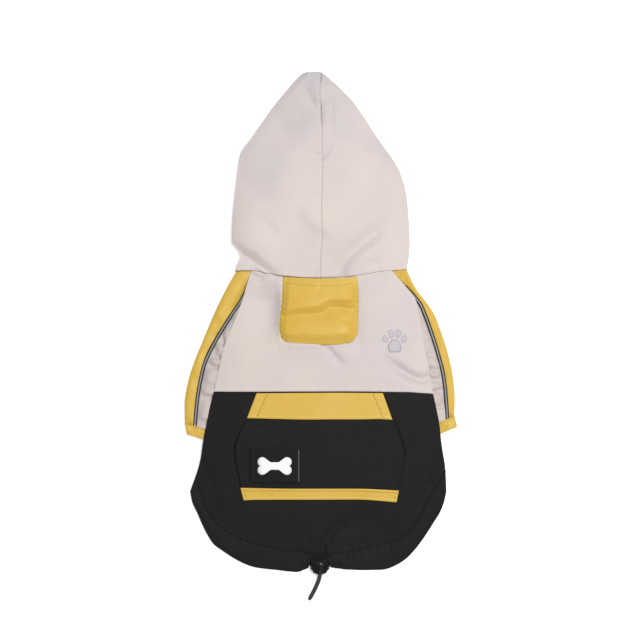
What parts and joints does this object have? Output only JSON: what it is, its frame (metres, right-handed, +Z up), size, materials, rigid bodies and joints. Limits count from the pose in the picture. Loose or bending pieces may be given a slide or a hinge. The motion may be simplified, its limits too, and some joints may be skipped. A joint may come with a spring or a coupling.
{
  "type": "dog raincoat",
  "caption": "Hooded dog raincoat laid flat on its belly, back side up, with short sleeves, a leash flap, a patch pocket, reflective piping and an elastic hem with a cord lock.",
  "frame": {"origin": "middle of the underside, on the surface that the coat lies on, measured without the cord and its lock", "axes": "+Y from the hem to the tip of the hood, +X towards the sleeve on the right when seen from above, +Z up from the belly to the back"},
  "size_m": [0.2315, 0.4485, 0.0156],
  "materials": {
    "cream_cloth": "coated polyester pongee, satin",
    "yellow_cloth": "coated polyester pongee, satin",
    "black_cloth": "coated polyester pongee, matte",
    "woven_label": "smooth woven label",
    "reflective_tape": "retroreflective film on tape",
    "black_plastic": "moulded, glossy",
    "black_cord": "braided elastic cord, matte"
  },
  "bodies": {
    "root": {"hood_left": "cream_cloth", "hood_right": "cream_cloth", "back_yoke": "cream_cloth", "leash_flap": "yellow_cloth", "back_skirt": "black_cloth", "hem_casing": "black_cloth", "belly_panel": "black_cloth", "pocket_top": "yellow_cloth", "pocket_body": "black_cloth", "pocket_band": "yellow_cloth", "pocket_label": "woven_label", "sleeve_strip_left": "yellow_cloth", "sleeve_strip_right": "yellow_cloth", "sleeve_panel_left": "cream_cloth", "sleeve_panel_right": "cream_cloth", "sleeve_piping_left": "reflective_tape", "sleeve_piping_right": "reflective_tape", "cuff_left": "yellow_cloth", "cuff_right": "yellow_cloth", "cord_lock": "black_plastic", "cord_lock_plunger": "black_plastic", "hem_cord": "black_cord"}
  },
  "joints": []
}
